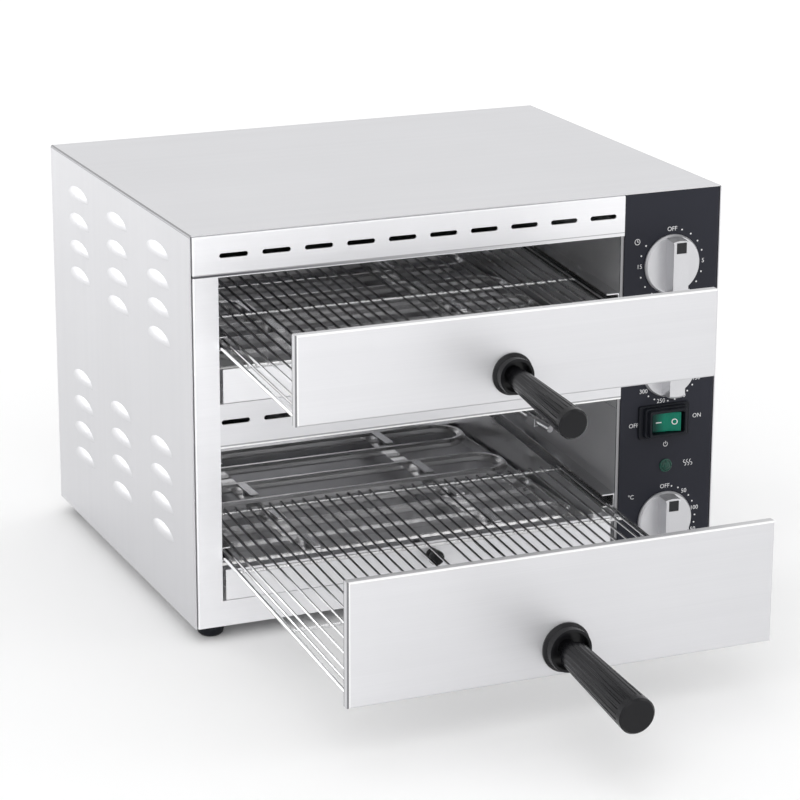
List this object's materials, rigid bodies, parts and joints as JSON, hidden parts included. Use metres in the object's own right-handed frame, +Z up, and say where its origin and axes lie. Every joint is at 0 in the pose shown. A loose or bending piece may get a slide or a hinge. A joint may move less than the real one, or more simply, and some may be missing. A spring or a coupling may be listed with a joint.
{
  "type": "pizza oven",
  "caption": "Counter pizza oven with two decks, wire racks on pull-out doors with handles, crumb trays, louvred sides and a side column of rotary controls, switch and lamp.",
  "frame": {"origin": "centre of the four feet, on the standing surface", "axes": "+Z up, -Y out of the front through the doors, +X to the control column's side"},
  "size_m": [0.4862, 0.7847, 0.345],
  "materials": {
    "stainless": "satin brushed",
    "liner_steel": "smooth mill finish",
    "panel_black": "satin powder coat with white print",
    "element_sheath": "dull tube",
    "bright_wire": "bright plated wire",
    "black_plastic": "satin moulded",
    "silver_plastic": "satin silver",
    "control_metal": "plated",
    "black_rubber": "matt",
    "green_rocker": "glossy translucent green",
    "green_lens": "clear green lens"
  },
  "bodies": {
    "housing": {"outer_housing": "stainless", "back_panel": "stainless", "base_plate": "stainless", "front_frame": "stainless", "control_panel": "panel_black", "rear_liner": "liner_steel", "top_liner": "liner_steel", "middle_deck": "liner_steel", "bottom_deck": "liner_steel", "switch_boot": "black_rubber", "switch_body": "black_plastic", "lamp_lens": "green_lens", "lamp_body": "black_plastic", "cable_gland": "black_plastic", "feet": "black_rubber", "foot_screws": "control_metal", "back_screws": "control_metal", "divider_rail": "stainless", "bottom_rail": "stainless", "left_liner": "liner_steel", "right_liner": "liner_steel", "upper_left_channel": "liner_steel", "upper_right_channel": "liner_steel", "upper_front_element": "element_sheath", "upper_rear_element": "element_sheath", "upper_element_frame": "liner_steel", "upper_sensor_clip": "liner_steel", "upper_sensor_bulb": "control_metal", "lower_left_channel": "liner_steel", "lower_right_channel": "liner_steel", "lower_front_element": "element_sheath", "lower_rear_element": "element_sheath", "lower_element_frame": "liner_steel", "lower_sensor_clip": "liner_steel", "lower_sensor_bulb": "control_metal", "timer_body": "control_metal", "upper_thermostat_body": "control_metal", "lower_thermostat_body": "control_metal"},
    "upper_drawer": {"upper_rack": "bright_wire", "upper_door": "stainless", "upper_handle": "black_plastic", "upper_handle_cup": "black_plastic", "upper_handle_screw": "control_metal"},
    "upper_tray": {"upper_crumb_tray": "stainless", "upper_crumb_tray_knob": "black_plastic"},
    "lower_drawer": {"lower_rack": "bright_wire", "lower_door": "stainless", "lower_handle": "black_plastic", "lower_handle_cup": "black_plastic", "lower_handle_screw": "control_metal"},
    "lower_tray": {"lower_crumb_tray": "stainless", "lower_crumb_tray_knob": "black_plastic"},
    "timer": {"timer_knob": "silver_plastic", "timer_shaft": "control_metal"},
    "upper_thermostat": {"upper_thermostat_knob": "silver_plastic", "upper_thermostat_shaft": "control_metal"},
    "lower_thermostat": {"lower_thermostat_knob": "silver_plastic", "lower_thermostat_shaft": "control_metal"},
    "rocker": {"rocker": "green_rocker"}
  },
  "joints": [
    {"name": "upper_drawer_slide", "type": "slide", "parent": "housing", "child": "upper_drawer", "axis": [0, -0.9973, -0.0741], "range_m": [-0.1649, 0.1351]},
    {"name": "lower_drawer_slide", "type": "slide", "parent": "housing", "child": "lower_drawer", "axis": [0, -0.9973, -0.0741], "range_m": [-0.2669, 0.0331]},
    {"name": "upper_tray_slide", "type": "slide", "parent": "housing", "child": "upper_tray", "axis": [0, -1, 0], "range_m": [0, 0.2]},
    {"name": "lower_tray_slide", "type": "slide", "parent": "housing", "child": "lower_tray", "axis": [0, -1, 0], "range_m": [0, 0.11]},
    {"name": "timer_turn", "type": "hinge", "parent": "housing", "child": "timer", "pos_m": [0.193, -0.188, 0.2805], "axis": [0, 1, 0], "range_deg": [0, 306]},
    {"name": "upper_thermostat_turn", "type": "hinge", "parent": "housing", "child": "upper_thermostat", "pos_m": [0.193, -0.188, 0.189], "axis": [0, 1, 0], "range_deg": [0, 230]},
    {"name": "lower_thermostat_turn", "type": "hinge", "parent": "housing", "child": "lower_thermostat", "pos_m": [0.193, -0.188, 0.0505], "axis": [0, 1, 0], "range_deg": [0, 230]},
    {"name": "rocker_tilt", "type": "hinge", "parent": "housing", "child": "rocker", "pos_m": [0.1895, -0.1865, 0.1415], "axis": [0, 0, 1], "range_deg": [0, 18]}
  ]
}
